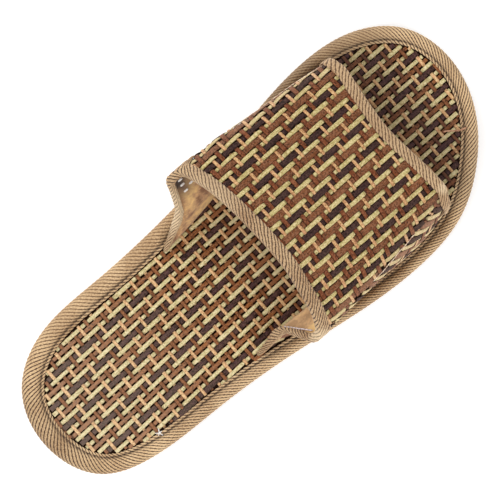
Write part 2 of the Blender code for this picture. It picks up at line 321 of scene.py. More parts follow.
def tread(flat):
    """Height of the underside: diamond studs with narrow grooves between them."""
    lines = [np.abs(((flat[:, 0] + flat[:, 1] * slant) / TREAD_PITCH) % 1 - 0.5) * 2
             for slant in (TREAD_SLANT, -TREAD_SLANT)]
    return TREAD_DEPTH * np.clip((np.maximum(*lines) - STUD_SHARE) / GROOVE_SLOPE, 0, 1)


outsole_profile = [(sole_loop(OUTSOLE_POINTS_ROUND, OUTSOLE_INSET + inset), z) for inset, z in OUTSOLE_EDGE]
points, faces = ringed_plate(outsole_profile, OUTSOLE_RINGS, tread, level(OUTSOLE_THICKNESS))
foam = Finish("outsole foam", 0.85)
speckle = foam.noise(foam.place(), 900.0, 3.0)
scuff = foam.noise(foam.place(), 60.0, 4.0)
foam.colour(foam.mix(foam.steps(speckle * 0.6 + scuff * 0.5, 0.35, 0.75), dye(58, 46, 42), dye(92, 76, 66)))
foam.plug(foam.shader.inputs["Roughness"], 0.72 + scuff * 0.25)
foam.bump(speckle, 0.0003, 0.6)
outsole = make_piece("outsole_plate", points, faces, foam)
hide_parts("outsole")

# ---- Insole pad and near-black backing ------------------------------------------------------------------
# Thin foam faced with near-black cloth. Its near-black is painted shade, which shows as the dark slits
# between the woven strips.
# Its rim is pinched flat and held in the channel of the sole binding.
PAD_BOTTOM = 5.3
SCRIM_TOP = 9.35
PAD_SINKS = 0.25
PAD_INSET = 0.15
PAD_POINTS_ROUND = 400
PAD_RINGS = 26
#  in from the sole's edge, and by a share of the binding's width, height
PAD_EDGE = (
    (PAD_INSET, 1.0, PAD_BOTTOM), (PAD_INSET, 1.0, 6.3), (5.6, 0.0, 6.5), (5.2, 0.0, 7.6), (5.6, 0.0, 8.6),
    (PAD_INSET, 1.0, 8.7), (PAD_INSET + 0.5, 1.0, SCRIM_TOP - 0.35),
)
#  height, length and start across the foot, length and start along it
HOLLOWS = ((0.16, 17, 1.3, 31, 0.4), (0.08, 7.3, 0, 11, 2))


def worn(x, y):
    """Shallow hollows and rises that long use and the foam's give leave in the mat."""
    return sum(height * np.sin(x / wide + left) * np.sin(y / long + back)
               for height, wide, left, long, back in HOLLOWS)


def sunk(flat):
    return SCRIM_TOP - PAD_SINKS + worn(flat[:, 0], flat[:, 1])


pad_profile = [(sole_loop(PAD_POINTS_ROUND, inset, share), z) for inset, share, z in PAD_EDGE]
points, faces = ringed_plate(pad_profile, PAD_RINGS, level(PAD_BOTTOM), sunk)
# painted shade: this near-black finish stands in for the shade in the slits between strips
slit_shade = Finish("near-black scrim", 0.95, Specular_IOR_Level=0.08)
threads, threads_over = (
    slit_shade.node("ShaderNodeTexWave", {"bands_direction": way}, {"Vector": slit_shade.place(), "Scale": 700.0})
    for way in ("X", "Y")
)
slit_shade.colour(slit_shade.mix(threads * threads_over, dye(25, 12, 6), dye(50, 30, 18)))
slit_shade.bump(threads + threads_over, 0.0001, 0.5)
pad = make_piece("insole_pad", points, faces, slit_shade)
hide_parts("insole")

# ---- Insole strips --------------------------------------------------------------------------------------
# Flat strips of paper straw, dyed cream, brown and near-black lengthwise and tan and brown crosswise, woven
# two over, two under. The mat is cut to the sole's outline and its cut ends go down beside the binding.
STRIP_THICKNESS = 0.5
WEAVE_RISE = 0.27
MAT_MIDDLE = 9.85
MAT_EDGE_GAP = 0.25
MAT_DIP = 0.45
MAT_DIP_WIDTH = 2.2
COLLAR_TAIL_Y = (-25, 0)
COLLAR_TAIL_X = 39.6

#   y    x of a brown strip   width of four strips
MAT_COLUMNS = (
    (-90.3, -4.62, 11.26),
    (-6.9, -5.52, 10.94),
    (108.6, -4.24, 10.75),
)
#  tan strip number, counted towards the toe    y
MAT_ROWS = ((-15, -121.3), (-8, -61.7), (-3, -19.7), (0, 4.65), (11, 94.0), (15, 125.4))
MAT_ROW_SLANT = -0.017
#            half width
MAT_STRIPS = {"brown": 1.0, "cream": 1.02, "dark": 1.28, "tan row": 0.82, "brown row": 0.86}
#   the finish that each is dyed: name, deep, middle, pale and second cast, share lightened (paler towards the
#       heel, painted light under the collar), share of painted shade under the toes
MAT_STRAWS = {
    "brown": ("brown straw", (68, 38, 23), (116, 73, 46), (150, 101, 68), (150, 90, 44), 0.22, 0.56),
    "cream": ("cream straw", (144, 122, 80), (198, 180, 131), (224, 209, 167), (184, 176, 122), 0.2, 0.36),
    "dark": ("near-black straw", (28, 16, 12), (57, 38, 31), (92, 66, 58), (80, 50, 54), 0.14, 0.4),
    "tan row": ("tan straw", (144, 102, 65), (199, 157, 109), (229, 192, 144), (204, 152, 112), 0.18, 0.42),
    "brown row": ("brown weft straw", (70, 40, 25), (117, 75, 48), (150, 98, 64), (130, 78, 44), 0.1, 0.74),
}
#   along the foot, in metres: the heel's paling fades from, to; the painted light under the collar and the
#       painted shade under the toes begin, are full from, to, and end
HEEL_PALING = (-0.13, -0.01)
COLLAR_LIGHT = (-0.015, 0.0, 0.02, 0.04)
TOE_SHADE = (0.05, 0.09, 0.106, 0.13)
LENGTHWISE = ("brown", "cream", "dark", "cream")
CROSSWISE = ("tan row", "brown row")
LOOSE = 0.42
BEND_SHARPNESS = 1.5
chance = np.random.default_rng(20)


def table_line(table, column, at):
    """A column of a small table read between its rows, and beyond them at its end slopes."""
    x = [row[0] for row in table]
    y = [row[column] for row in table]
    inside = np.interp(at, x, y)
    before = np.minimum(at - x[0], 0) * (y[1] - y[0]) / (x[1] - x[0])
    after = np.maximum(at - x[-1], 0) * (y[-1] - y[-2]) / (x[-1] - x[-2])
    return inside + before + after


def crossed(at, crossings, covers, half_widths):
    """Along a strip: its rise, from -1, under others, to 1, over them, and the gap to the nearest one that
    covers it, below 0 beneath it. covers says which of those that it crosses do."""
    over = np.where(covers, -1.0, 1.0)
    i = np.clip(np.searchsorted(crossings, at) - 1, 0, len(crossings) - 2)
    share = (at - crossings[i]) / (crossings[i + 1] - crossings[i])
    share = np.clip((share - 0.5) * BEND_SHARPNESS + 0.5, 0, 1)
    share = share * share * (3 - 2 * share)
    rise = over[i] * (1 - share) + over[i + 1] * share
    return rise, (np.abs(at[:, None] - crossings[covers]) - half_widths[covers]).min(axis=1)


def held(half_widths, columns, rows, brown_loose):
    """Half of what each lengthwise strip covers of a crosswise one, and the other way round."""
    by_column = np.array([half_widths[LENGTHWISE[column % 4]] - LOOSE for column in columns])
    by_row = np.where(rows % 2 == 0, half_widths["tan row"] - LOOSE, half_widths["brown row"] - brown_loose)
    return by_column, by_row


def waver(at, size, shortest, longest):
    """A strip's slow drift from side to side."""
    return size * np.sin(at / chance.uniform(shortest, longest) + chance.uniform(0, 6.3))


def runs_of(inside):
    """The stretches of True, as slices of at least five samples."""
    padded = np.concatenate([[False], inside, [False]]).astype(int)
    starts = np.flatnonzero(np.diff(padded) == 1)
    ends = np.flatnonzero(np.diff(padded) == -1)
    return [slice(a, b) for a, b in zip(starts, ends) if b - a >= 5]


class Strips:
    """Strips of one colour. lay() adds one, with a flat bottom, a slightly domed top and its own shade."""

    ACROSS = np.array([-1.0, -0.8, 0.0, 0.8, 1.0, 0.0])
    HEIGHT = np.array([-0.15, 0.36, 0.5, 0.36, -0.15, -0.5])

    def __init__(self):
        self.points = []
        self.faces = []
        self.lie = []
        self.own = []
        self.gap = []
        self.count = 0

    def lay(self, centre, normal, half_width, shade, gap, painted_light=0.0):
        side = unit(np.cross(np.gradient(centre, axis=0), normal))
        reach = reach_along(centre)
        uneven = 0.05 * np.sin(reach / 9.1 + shade * 40) - 0.12 * np.exp(-(gap / 0.7) ** 2)
        across = (half_width * (1 + uneven))[:, None] * self.ACROSS
        ring = centre[:, None] + side[:, None] * across[..., None]
        ring = ring + normal[:, None] * (self.HEIGHT * STRIP_THICKNESS)[None, :, None]
        n = len(centre)
        last = (n - 1) * 6
        caps = np.array([[0, 5, 2, 1], [2, 5, 4, 3], [last + 1, last + 2, last + 5, last],
                         [last + 3, last + 4, last + 5, last + 2]])
        lie = np.broadcast_arrays(reach[:, None] + shade * 977, across, shade * 31)
        own = np.broadcast_arrays(shade, np.broadcast_to(painted_light, n)[:, None], np.abs(self.ACROSS))
        self.points.append(ring.reshape(-1, 3))
        self.faces.append(np.concatenate([grid_faces(n, 6, closed_columns=True), caps]) + self.count)
        self.lie.append(np.stack(lie, axis=-1).reshape(-1, 3))
        self.own.append(np.stack(own, axis=-1).reshape(-1, 3))
        self.gap.append(np.repeat(gap, 6))
        self.count += n * 6

    def make(self, name, finish, slot):
        points, faces, lie, own, gap = map(
            np.concatenate, (self.points, self.faces, self.lie, self.own, self.gap))
        return make_piece(name, points, faces, finish, {"lie": lie, "own": own, "gap": gap})


def straw(name, deep, middle, pale, cast, lightened=0.0, painted_shade=0.0):
    """Dyed paper straw: fine fibres, knots, flecks of a second cast of dye, and darker edges.

    The share lightened is paler towards the heel and is painted light under the collar, where the vamp shades
    the mat. The share of painted shade is painted darker ahead of the vamp's front edge, under the toes."""
    made = Finish(name, 0.62, Specular_IOR_Level=0.07)
    lie = made.attribute("lie", "Vector")
    own = made.attribute("own", "Vector")
    shade, painted_light, edge = (made.axis(own, number) for number in range(3))
    fibre = made.noise(made.stretch(lie, (0.35, 3.6, 1.0)), 1.0, 2.0)
    knots = made.noise(made.stretch(lie, (1.25, 1.35, 1.0)), 1.0, 3.0)
    flecks = made.noise(made.stretch(lie, (0.8, 1.1, 1.7)), 1.0, 2.0)
    blotch = made.noise(made.stretch(lie, (0.16, 0.4, 1.0)), 1.0, 2.0)
    grain = (fibre - 0.5) * 0.8 + (knots - 0.5) * 2.8 + (blotch - 0.5) * 0.5
    tone = grain + shade * 0.16 - made.steps(edge, 0.7, 1.0) * 0.22 + 0.54
    dyed = made.ramp(tone, [(0.08, deep), (0.5, middle), (0.9, pale)])
    dyed = made.mix(made.steps(flecks, 0.46, 0.62) * 0.65, dyed, cast)
    forward = made.axis(made.place(), 1)
    # paler towards the heel
    heel = 1 - made.steps(forward, *HEEL_PALING)
    dyed = made.mix(heel * lightened, dyed, made.mix(0.5, pale, dye(246, 232, 206)))
    # painted light: paler under the collar, where the vamp shades the mat
    dyed = made.mix(made.hump(forward, *COLLAR_LIGHT) * lightened * 2, dyed, pale)
    # painted shade: darker ahead of the vamp's front edge, in its shade under the toes
    dyed = made.mix(made.hump(forward, *TOE_SHADE) * painted_shade, dyed, made.mix(0.7, deep, dye(62, 48, 48)))
    # painted light: the vamp's strips are paler towards its sides
    dyed = made.mix(painted_light * 0.75, dyed, dye(222, 192, 168))
    # painted shade: darker where a strip goes under its neighbours
    tucked = 1 - made.steps(made.attribute("gap"), 0.1, 0.65)
    made.colour(made.mix(tucked * 0.7, dyed, made.mix(0.6, deep, dye(24, 14, 10))))
    made.plug(made.shader.inputs["Roughness"], 0.5 + fibre * 0.3)
    made.bump(fibre + knots * 0.8, 0.0002, 0.9)
    return made


def make_strips(weave, straws, where, slot):
    """A piece of the strips of each colour."""
    pieces = []
    for colour, strips in weave.items():
        name, deep, middle, pale, cast, *painted_light = straws[colour]
        finish = straw(name, dye(*deep), dye(*middle), dye(*pale), dye(*cast), *painted_light)
        pieces.append(strips.make(f"{where}_{colour.replace(' ', '_')}_strips", finish, slot))
    return pieces


def mat_column_x(column, y):
    return table_line(MAT_COLUMNS, 1, y) + column * table_line(MAT_COLUMNS, 2, y) / 4


def mat_row_y(row, x):
    """Row 0 is a tan one and odd rows are brown."""
    return table_line(MAT_ROWS, 1, np.asarray(row, float) / 2) + MAT_ROW_SLANT * x


mat_edge = sole_loop(1440, MAT_EDGE_GAP, 1.0)
mat_outline = sole_loop(400, MAT_EDGE_GAP, 1.0)
outer_half = mat_edge[:, 0] > np.interp(mat_edge[:, 1], (-130, 130), (3.2, -9.0))
outer_side = mat_edge[outer_half][np.argsort(mat_edge[outer_half][:, 1])]
inner_side = mat_edge[~outer_half][np.argsort(mat_edge[~outer_half][:, 1])]


def mat_room(x, y):
    """How far a place on the mat lies from its edge or the collar's tail, across the foot and along it."""
    across = np.minimum(x - np.interp(y, inner_side[:, 1], inner_side[:, 0]),
                        np.interp(y, outer_side[:, 1], outer_side[:, 0]) - x)
    ends = np.minimum(y - mat_edge[:, 1].min(), mat_edge[:, 1].max() - y)
    beside_tail = (y > COLLAR_TAIL_Y[0]) & (y < COLLAR_TAIL_Y[1])
    return np.minimum(np.minimum(across, ends), np.where(beside_tail, COLLAR_TAIL_X - x, np.inf))


def mat_place(x, y, rise):
    """A strip's middle on the mat. It dips where it nears the binding."""
    room = np.clip(mat_room(x, y) / MAT_DIP_WIDTH, 0, 1)
    z = MAT_MIDDLE + lift(y) + worn(x, y) + rise * WEAVE_RISE - MAT_DIP * (1 - room) ** 2
    return np.stack([x, y, z], axis=1)


def lay_on_mat(colour, x, y, rise_and_gap, shade, unevenness):
    """Lays the stretches of a strip inside the binding, each a little wider or narrower by chance."""
    rise, gap = rise_and_gap
    for run in runs_of(mat_room(x, y) > 0):
        centre = mat_place(x[run], y[run], rise[run])
        normal = np.tile((0.0, 0.0, 1.0), (len(centre), 1))
        half_width = MAT_STRIPS[colour] * chance.uniform(1 - unevenness, 1 + unevenness)
        mat_weave[colour].lay(centre, normal, half_width, shade, gap[run])


mat_weave = {colour: Strips() for colour in MAT_STRIPS}
columns = np.arange(-20, 24)
rows = np.arange(-36, 36)
column_holds, row_holds = held(MAT_STRIPS, columns, rows, 0.0)
for column in columns:
    y = np.arange(-132.0, 134.0, 0.72)
    shade = chance.random()
    x = mat_column_x(column, y) + waver(y, 0.13, 14, 22)
    crossings = mat_row_y(rows, mat_column_x(column, mat_row_y(rows, 0)))
    rise_and_gap = crossed(y, crossings, (column + rows - 1) % 4 < 2, row_holds)
    lay_on_mat(LENGTHWISE[column % 4], x, y, rise_and_gap, shade, 0.05)
for row in rows:
    x = np.arange(-54.0, 54.0, 0.46)
    shade = chance.random()
    y = mat_row_y(row, x) + waver(x, 0.1, 12, 20)
    crossings = mat_column_x(columns, mat_row_y(row, 0))
    rise_and_gap = crossed(x, crossings, (columns + row - 1) % 4 >= 2, column_holds)
    lay_on_mat(CROSSWISE[row % 2], x, y, rise_and_gap, shade, 0.07)
mat_pieces = make_strips(mat_weave, MAT_STRAWS, "mat", "woven_mat")

# a near-black sheet just under the mat: painted shade in the slits between its strips
BACKING_RISES = 0.12
rings = np.array([ring_inside(mat_outline, share, sunk) for share in np.linspace(0.002, 1, 24)])
rings[..., 2] += BACKING_RISES
rings[..., 2] += lift(rings[..., 1])
faces = grid_faces(len(rings), len(mat_outline), closed_columns=True)[:, ::-1]
faces = np.concatenate([faces, bridge(0, len(mat_outline))])
backing = make_piece("mat_backing", rings.reshape(-1, 3), faces, slit_shade)
x, y = mat_outline.T
mat_area = abs((x * np.roll(y, -1) - y * np.roll(x, -1)).sum()) / 2 * MM * MM

# ---- Sole binding ---------------------------------------------------------------------------------------
# Bias-cut twill tape folded over the rim of the insole and padded to a plump roll. Its inner leaf lies flat
# beside the mat, and a row of stitches sinks in between leaf and roll. The twill's lines cross it aslant.
TAU = 2 * math.pi
TWILL_PITCH = 2.5
FLOAT_LENGTH = 1.5
FLOATS_LEAN = 2.6
TWILL_LINES_ROUND = 268
RIB_HEIGHT = 0.36
SAMPLES_PER_LINE = 6
SOLE_SLANT = 1.2
LEAF_WIDTH = 2.0

#  on the leaf, distance from its inner edge, height
LEAF_PROFILE = (
    (0.8, 8.85), (0.25, 9.0), (0.02, 9.35), (0.12, 9.8), (0.45, 10.05), (0.9, 10.05), (1.3, 9.85),
    (1.65, 9.5),
)
#  on the roll, share of the way outwards, height
ROLL_PROFILE = (
    (0.0, 9.35), (0.05, 9.8), (0.12, 10.4), (0.23, 11.0), (0.36, 11.4), (0.50, 11.55), (0.63, 11.4),
    (0.75, 10.95), (0.86, 10.3), (0.94, 9.5), (0.985, 8.8), (1.0, 8.2), (0.985, 7.5), (0.94, 6.7),
    (0.86, 6.0), (0.74, 5.5), (0.58, 5.3), (0.2, 5.3), (-0.6, 5.35),
)

#   how much painted shade the first lines of the profile take, at the mat and in the stitches' groove
DEEP_LINES = (1.0, 1.0, 0.6, 0.0, 0.0, 0.0, 0.3, 0.8, 0.9, 0.4)
#   painted shade on the binding, beside the ball's inner side and round the toe: from, fully from, fully to,
#   to (along the foot), from and fully from (across), share
SHADED_PLACES = (
    (0.046, 0.060, 0.080, 0.112, (0.033, 0.042), 0.55),
    (0.088, 0.104, 0.114, 0.131, None, 0.26),
)


def rib(k):
    """Height of the twill over its groove, from 0 to 1, at the k-th sample along a tape."""
    return np.array([0.0, 0.5, 0.9, 1.0, 0.9, 0.5])[k % SAMPLES_PER_LINE]


def twill(name, line, band, pale, softer, lightened=(), painted_shade=()):
    """Striped twill: plump tan yarns side by side, each float a short oval, and dark yarn showing between.

    softer says where its stripes are fainter: axis, sign, from, fully from, share. The last two are tables of
    places, each with its share: where the tape is paler, and where shade is painted on it."""
    made = Finish(name, 0.85, Sheen_Weight=0.1, Sheen_Roughness=0.5)
    lie = made.attribute("lie", "Vector")
    number = made.axis(lie, 2)
    phase = made.axis(lie, 1) * (TAU / FLOAT_LENGTH) + number * FLOATS_LEAN
    float_end = made.node("ShaderNodeMath", {"operation": "SINE"}, {0: phase})
    yarn = made.noise(made.stretch(lie, (1.0, 1.0, 0.0)), 1.7, 3.0)
    soil = made.noise(made.place(), 55.0, 3.0)
    tone = made.mix(made.steps(yarn * 0.8 + soil * 0.6, 0.5, 0.9), band, pale)
    dark = made.steps(made.attribute("rib") + float_end * 0.1 + yarn * 0.8, 0.55, 1.3)
    inwards = made.axis(made.place(), 0) * -1
    forward = made.axis(made.place(), 1)
    tone = made.mix(made.steps(forward, 0.02, 0.12) * 0.35, tone, pale)
    tone = made.mix((1 - made.steps(forward, -0.134, -0.118)) * 0.2, tone, line)
    for spot, full, ends, most in lightened:
        paling = made.near(spot, full, ends) * most
        tone = made.mix(paling, tone, dye(238, 214, 176))
        dark = dark + (1 - dark) * (paling * 0.6)
    crest = made.node("ShaderNodeMath", {"operation": "COSINE"}, {0: (number + 0.5) * TAU})
    tone = made.mix(made.steps(crest + float_end * 0.15 + yarn * 0.8, 1.0, 1.5) * 0.2, tone, line)
    axis, sign, begins, full, share = softer
    soft = made.steps(made.axis(made.place(), axis) * sign, begins, full) * share
    tone = made.mix(soft * 0.2, tone, line)
    striped = made.mix(dark, made.mix(soft, line, band), tone)
    # painted shade on the binding where the vamp shades it
    for *along_foot, across_foot, share in painted_shade:
        shadow = made.hump(forward, *along_foot) * share
        if across_foot:
            shadow = shadow * made.steps(inwards, *across_foot)
        striped = made.mix(shadow, striped, line)
    # painted shade in the groove beside the mat and the stitches, and along the tapes' edges
    deep = made.attribute("deep") * (0.1 + yarn * 0.9)
    made.colour(made.mix(deep, striped, dye(52, 36, 26)))
    fuzz = made.noise(made.place(), 2600.0, 2.0)
    made.bump(fuzz * 0.6 + float_end * 0.35 + yarn * 0.5, 0.0002, 0.7)
    return made


def grid_normals(points, closed_rows=False):
    """Unit normals over a grid of points, by the differences between neighbours."""
    if closed_rows:
        down = np.roll(points, -1, axis=0) - np.roll(points, 1, axis=0)
    else:
        down = np.gradient(points, axis=0)
    return unit(np.cross(np.gradient(points, axis=1), down))


tape_profile = np.array(LEAF_PROFILE + ROLL_PROFILE)
on_leaf = np.arange(len(tape_profile)) < len(LEAF_PROFILE)


def tape_inset(width):
    """How far in from the sole's edge each line of the tape's profile lies, at a width of the binding."""
    return np.where(on_leaf, width - tape_profile[:, 0], (width - LEAF_WIDTH) * (1 - tape_profile[:, 0]))


sole_twill = twill("striped twill", dye(64, 38, 20), dye(176, 139, 98), dye(232, 199, 154),
                   (0, -1, 0.03, 0.043, 0.45), (), SHADED_PLACES)
n = TWILL_LINES_ROUND * SAMPLES_PER_LINE
edge, inward = edge_and_inward(n)
length_round = np.linalg.norm(np.roll(edge, -1, axis=0)[:, :2] - edge[:, :2], axis=1).sum()
around = reach_along(np.column_stack([tape_inset(edge[:, 2].mean()), tape_profile[:, 1]]))
k = np.arange(n)[:, None]
sheared = (k + around[None, :] * SOLE_SLANT * n / length_round) % n
low = np.floor(sheared).astype(int) % n
part = (sheared - np.floor(sheared))[..., None]
edge_line = np.concatenate([edge, inward], axis=1)
at = edge_line[low] * (1 - part) + edge_line[(low + 1) % n] * part
reach = sheared * length_round / n
plump = 0.12 * np.sin(reach / 6.1) * np.sin(reach / 13.7 + 1) + 0.1 * np.sin(reach / 3.3 + 2)
height = tape_profile[:, 1] + plump * np.clip((tape_profile[:, 1] - 9.8) / 1.5, 0, 1)
flat = at[..., :2] + at[..., 3:] * tape_inset(at[..., 2])[..., None]
points = np.concatenate([flat, (height + lift(flat[..., 1]))[..., None]], axis=2)
ribs = np.broadcast_to(rib(k), reach.shape)
points = points + grid_normals(points, closed_rows=True) * ((ribs - 0.7) * RIB_HEIGHT)[..., None]
faces = grid_faces(n, len(around), closed_rows=True)
lie = np.stack(np.broadcast_arrays(reach, around, k / SAMPLES_PER_LINE), axis=2)
deep = np.zeros(reach.shape)
deep[:, :len(DEEP_LINES)] = DEEP_LINES
marks = {"rib": ribs.reshape(-1).astype(float), "lie": lie.reshape(-1, 3), "deep": deep.reshape(-1)}
sole_tape = make_piece("sole_tape", points.reshape(-1, 3), faces, sole_twill, marks)
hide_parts("sole_binding")

# ---- Vamp lining and interlining ------------------------------------------------------------------------
# The vamp is lasted from three layers: mottled suede-like lining inside, interlining, and the woven strips
# outside. The interlining's near-black is painted shade, seen between the strips. The vamp creases softly
# along both sides of the foot and is sewn down inside the sole binding.
WALL = 2.0
SEAM_INSET = 1.7
SEAM_HEIGHT = 10.3
INNER_KNEE_AT = 0.35
KNEE_ROUNDING = 4.0
FOLD_ROUNDING = 4.5
TOP_FULLNESS = 0.28
SIDE_SHARE = 0.23
LAYER_ROWS = 150
LAYER_COLUMNS = 64
SEAM_TUCK = 0.5

#    y   inner x  inner z  outer x  outer z  crown z  inner knee in  outer knee in  its share of height
LAST = (
    (-32, -56.2,   31.0,    51.2,    31.0,   56.0,     1.0,           7.5,           0.35),
    (-6,  -56.0,   32.0,    51.6,    32.0,   56.0,     2.5,           9.2,           0.35),
    (6,   -55.9,   32.0,    51.8,    32.0,   55.5,     3.0,          10.0,           0.35),
    (23,  -55.2,   30.5,    51.1,    30.5,   51.5,     2.0,           6.0,           0.38),
    (48,  -51.5,   27.0,    48.8,    27.0,   44.0,     0.5,          -0.6,           0.52),
    (70,  -49.0,   23.5,    45.9,    23.5,   36.5,    -0.6,          -2.0,           0.58),
    (96,  -44.6,   19.5,    42.1,    19.5,   28.5,    -0.6,          -0.6,           0.50),
)
#  share across, inner seam 0 to outer seam 1, and how far forward the toe opening lies there
TOE_OPENING = (
    (0.00, 88.0), (0.10, 91.0), (0.20, 93.3), (0.25, 94.7), (0.36, 92.5), (0.50, 90.3),
    (0.65, 92.1), (0.75, 92.7), (0.80, 89.9), (0.90, 87.3), (1.00, 85.5),
)
#  and how far back the collar lies, down to the end of each tail
COLLAR = (
    (0.00, -29.8), (0.05, -20.5), (0.10, -13.5), (0.16, -7.6), (0.20, -4.6), (0.225, 1.4), (0.28, 5.0),
    (0.34, 7.4), (0.42, 8.9), (0.50, 9.5), (0.57, 9.1), (0.65, 6.6), (0.72, 3.8), (0.77, 0.0),
    (0.80, -3.4), (0.86, -9.1), (0.91, -14.9), (0.95, -21.0), (1.00, -29.8),
)


def along(table, column, at):
    """Value of one column of a table at places between its rows: a cubic with no overshoot."""
    x = np.array([row[0] for row in table], float)
    y = np.array([row[column] for row in table], float)
    slope = np.diff(y) / np.diff(x)
    tangent = np.zeros(len(x))
    for i in range(1, len(x) - 1):
        if slope[i - 1] * slope[i] > 0:
            tangent[i] = 2 * slope[i - 1] * slope[i] / (slope[i - 1] + slope[i])
    tangent[0] = slope[0]
    tangent[-1] = slope[-1]
    at = np.clip(at, x[0], x[-1])
    i = np.clip(np.searchsorted(x, at, side="right") - 1, 0, len(x) - 2)
    h = x[i + 1] - x[i]
    t = (at - x[i]) / h
    return (y[i] * (1 + 2 * t) * (1 - t) ** 2 + tangent[i] * h * t * (1 - t) ** 2
            + y[i + 1] * t * t * (3 - 2 * t) + tangent[i + 1] * h * t * t * (t - 1))


seam_loop = sole_loop(1440, SEAM_INSET, 1.0)
seam_loop = seam_loop[np.abs(seam_loop[:, 1]) < 105]
seam_loop = seam_loop[np.argsort(seam_loop[:, 1])]


def seam_x(side, y):
    half = seam_loop[seam_loop[:, 0] * side > 0]
    return np.interp(y, half[:, 1], half[:, 0])


def toward(start, end, distance):
    return start + unit(end - start) * distance


def side_points(t, seam, knee, fold, over):
    """One side of a section, from its seam (t 0), round the knee, to the end of its fold (t 1)."""
    a = toward(knee, seam, KNEE_ROUNDING)
    b = toward(knee, fold, KNEE_ROUNDING)
    c = toward(fold, knee, FOLD_ROUNDING)
    d = toward(fold, over, FOLD_ROUNDING)
    part = np.clip(np.floor(t * 4), 0, 3)
    s = (t * 4 - part)[..., None]
    part = part[..., None]
    first = seam * (1 - s) + a * s
    second = a * (1 - s) ** 2 + knee * 2 * s * (1 - s) + b * s * s
    third = b * (1 - s) + c * s
    fourth = c * (1 - s) ** 2 + fold * 2 * s * (1 - s) + d * s * s
    return np.select([part == 0, part == 1, part == 2], [first, second, third], fourth)


def last_at(share, y):
    """Points on the middle of the vamp's wall at shares of the way across, inner seam 0, and at places y."""
    share, y = np.broadcast_arrays(np.asarray(share, float), np.asarray(y, float))
    seams = []
    knees = []
    folds = []
    for side, fold_column, knee_column, knee_at in ((-1, 1, 6, INNER_KNEE_AT), (1, 3, 7, along(LAST, 8, y))):
        knee_at = np.broadcast_to(knee_at, y.shape)[..., None]
        seam = np.stack([seam_x(side, y), np.zeros_like(y)], axis=-1)
        fold = np.stack([along(LAST, fold_column, y), along(LAST, fold_column + 1, y)], axis=-1)
        knee = seam * (1 - knee_at) + fold * knee_at
        knee[..., 0] -= side * along(LAST, knee_column, y)
        seams.append(seam)
        knees.append(knee)
        folds.append(fold)
    crown = along(LAST, 5, y)
    width = folds[1][..., 0] - folds[0][..., 0]
    overs = [np.stack([fold[..., 0] + side * TOP_FULLNESS * width,
                       fold[..., 1] + (crown - fold[..., 1]) * 4 / 3], axis=-1)
             for side, fold in zip((1, -1), folds)]
    inner = side_points(np.clip(share / SIDE_SHARE, 0, 1), seams[0], knees[0], folds[0], overs[0])
    outer = side_points(np.clip((1 - share) / SIDE_SHARE, 0, 1), seams[1], knees[1], folds[1], overs[1])
    a = toward(folds[0], overs[0], FOLD_ROUNDING)
    d = toward(folds[1], overs[1], FOLD_ROUNDING)
    s = np.clip((share - SIDE_SHARE) / (1 - 2 * SIDE_SHARE), 0, 1)[..., None]
    top = a * (1 - s) ** 3 + overs[0] * 3 * s * (1 - s) ** 2 + overs[1] * 3 * s * s * (1 - s) + d * s**3
    share = share[..., None]
    flat = np.select([share < SIDE_SHARE, share > 1 - SIDE_SHARE], [inner, outer], top)
    return np.stack([flat[..., 0], y, SEAM_HEIGHT + lift(y) + flat[..., 1]], axis=-1)


def last_normal(share, y):
    """Outward normals of the last."""
    across = last_at(np.minimum(share + 0.002, 1), y) - last_at(np.maximum(share - 0.002, 0), y)
    forward = last_at(share, y + 0.5) - last_at(share, y - 0.5)
    return unit(np.cross(across, forward))


def pinch(share):
    """The layers are pressed thin where they are caught in the seams, at shares 0 and 1."""
    return np.interp(np.minimum(share, 1 - share), (0.0, 0.07), (0.45, 1.0))


def vamp_layer(name, low, high, finish):
    """A closed layer of the vamp between two heights off the middle of its wall."""
    share = np.linspace(0, 1, LAYER_ROWS)[:, None]
    back = np.linspace(0, 1, LAYER_COLUMNS)[None, :]
    y = along(TOE_OPENING, 1, share) * (1 - back) + along(COLLAR, 1, share) * back
    middle = last_at(share, y)
    normal = last_normal(share, y) * pinch(share)[..., None]
    rings = np.concatenate([middle + normal * high, (middle + normal * low)[:, ::-1]], axis=1)
    rings[[0, -1], :, 2] -= SEAM_TUCK
    points, faces = closed_rings(rings)
    return make_piece(name, points, faces, finish)


SHADED_HOLLOW = (-0.0512, -0.0038, 0.0380)
suede = Finish("mottled suede lining", 0.92, Sheen_Weight=0.2, Sheen_Roughness=0.6)
cloud = suede.noise(suede.place(), 75.0, 4.0)
nap = suede.noise(suede.place(), 700.0, 3.0)
streak = suede.noise(suede.stretch(suede.place(), (260.0, 130.0, 130.0)), 1.0, 2.0)
mottle = cloud + nap * 0.25 + streak * 0.5 - 0.32
dyed = suede.ramp(mottle, [(0.42, dye(140, 96, 62)), (0.55, dye(198, 152, 106)), (0.68, dye(238, 196, 128))])
outward = suede.axis(suede.place(), 0)
# painted light: the lining of the outer side, which faces the inner side, is painted paler
dyed = suede.mix(suede.steps(outward, 0.0, 0.03) * 0.3, dyed, dye(236, 198, 142))
# painted shade in the hollow at the collar's inner corner
dyed = suede.mix(suede.near(SHADED_HOLLOW, 0.004, 0.018) * cloud * 1.5, dyed, dye(100, 70, 47))
hollow_shade = suede.near(SHADED_HOLLOW, 0.0015, 0.006) * (0.4 + cloud)
suede.colour(suede.mix(hollow_shade, dyed, dye(38, 22, 14)))
suede.bump(nap + cloud * 0.6, 0.0003, 0.6)
lining = vamp_layer("vamp_lining", -1.0, -0.1, suede)
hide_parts("upper")
interlining = vamp_layer("vamp_interlining", -0.05, 0.42, slit_shade)

